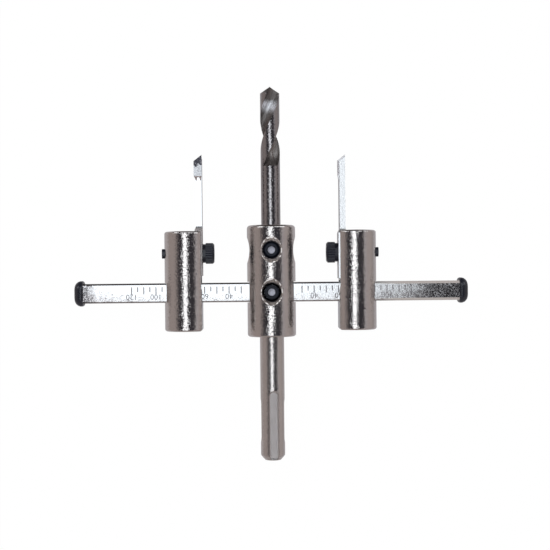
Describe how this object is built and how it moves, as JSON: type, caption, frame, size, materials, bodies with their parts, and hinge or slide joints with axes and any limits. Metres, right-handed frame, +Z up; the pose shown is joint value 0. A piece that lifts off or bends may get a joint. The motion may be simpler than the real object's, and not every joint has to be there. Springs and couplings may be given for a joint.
{
  "type": "adjustable circle cutter",
  "caption": "Adjustable circle cutter for a drill: pilot drill and slotted shank in a round body, with carbide cutters in holders that slide along a square graduated beam.",
  "frame": {"origin": "bottom centre of the whole tool as it lies on its back: under the tool axis, at the middle of the tool's length", "axes": "+Y along the tool axis towards the drill tip, +X along the cross beam, +Z up out of the ruler face"},
  "size_m": [0.1624, 0.1544, 0.02],
  "materials": {
    "body_plating": "polished nickel plate with fine grinding lines",
    "shank_steel": "satin turned steel",
    "drill_steel": "ground tool steel",
    "beam_plating": "bright plated bar",
    "blade_plating": "bright plated bar",
    "carbide": "ground sintered carbide",
    "black_oxide": "black oxide",
    "cap_rubber": "satin moulded rubber"
  },
  "bodies": {
    "tool_body": {"tool_body": "body_plating", "shank": "shank_steel"},
    "pilot_drill": {"pilot_drill": "drill_steel"},
    "beam": {"beam": "beam_plating", "left_end_cap": "cap_rubber", "right_end_cap": "cap_rubber"},
    "left_holder": {"left_holder": "body_plating"},
    "right_holder": {"right_holder": "body_plating"},
    "left_cutter": {"left_cutter_blade": "blade_plating", "left_carbide_tip": "carbide"},
    "right_cutter": {"right_cutter_blade": "blade_plating", "right_carbide_tip": "carbide"},
    "left_clamp_screw": {"left_clamp_screw": "black_oxide"},
    "right_clamp_screw": {"right_clamp_screw": "black_oxide"},
    "left_holder_screw": {"left_holder_screw": "black_oxide"},
    "right_holder_screw": {"right_holder_screw": "black_oxide"},
    "drill_screw_front": {"drill_screw_front": "black_oxide"},
    "drill_screw_left": {"drill_screw_left": "black_oxide"},
    "drill_screw_right": {"drill_screw_right": "black_oxide"},
    "beam_screw": {"beam_screw": "black_oxide"}
  },
  "joints": [
    {"name": "beam_slide", "type": "slide", "parent": "tool_body", "child": "beam", "axis": [1, 0, 0], "range_m": [-0.0124, 0.0124]},
    {"name": "left_holder_slide", "type": "slide", "parent": "beam", "child": "left_holder", "axis": [-1, 0, 0], "range_m": [-0.0132, 0.033]},
    {"name": "right_holder_slide", "type": "slide", "parent": "beam", "child": "right_holder", "axis": [-1, 0, 0], "range_m": [-0.0338, 0.0125]},
    {"name": "left_cutter_slide", "type": "slide", "parent": "left_holder", "child": "left_cutter", "axis": [0, 1, 0], "range_m": [-0.0012, 0.0028]},
    {"name": "right_cutter_slide", "type": "slide", "parent": "right_holder", "child": "right_cutter", "axis": [0, 1, 0], "range_m": [-0.0012, 0.0028]},
    {"name": "drill_slide", "type": "slide", "parent": "tool_body", "child": "pilot_drill", "axis": [0, 1, 0], "range_m": [0, 0.008]},
    {"name": "drill_screw_front_turn", "type": "hinge", "parent": "tool_body", "child": "drill_screw_front", "pos_m": [0, 0.0095, 0.014], "axis": [0, 0, 1], "range_deg": [0, 1080]},
    {"name": "drill_screw_left_turn", "type": "hinge", "parent": "tool_body", "child": "drill_screw_left", "pos_m": [-0.004, 0.0095, 0.01], "axis": [-1, 0, 0], "range_deg": [0, 1080]},
    {"name": "drill_screw_right_turn", "type": "hinge", "parent": "tool_body", "child": "drill_screw_right", "pos_m": [0.004, 0.0095, 0.01], "axis": [1, 0, 0], "range_deg": [0, 1080]},
    {"name": "beam_screw_turn", "type": "hinge", "parent": "tool_body", "child": "beam_screw", "pos_m": [0, -0.0078, 0.014], "axis": [0, 0, 1], "range_deg": [0, 1080]},
    {"name": "left_clamp_screw_turn", "type": "hinge", "parent": "left_holder", "child": "left_clamp_screw", "pos_m": [-0.0282, 0.0084, 0.01], "axis": [1, 0, 0], "range_deg": [0, 1080]},
    {"name": "right_clamp_screw_turn", "type": "hinge", "parent": "right_holder", "child": "right_clamp_screw", "pos_m": [0.0275, 0.0084, 0.01], "axis": [-1, 0, 0], "range_deg": [0, 1080]},
    {"name": "left_holder_screw_turn", "type": "hinge", "parent": "left_holder", "child": "left_holder_screw", "pos_m": [-0.0364, -0.0118, 0.01], "axis": [0, -1, 0], "range_deg": [0, 1080]},
    {"name": "right_holder_screw_turn", "type": "hinge", "parent": "right_holder", "child": "right_holder_screw", "pos_m": [0.0357, -0.0118, 0.01], "axis": [0, -1, 0], "range_deg": [0, 1080]}
  ]
}
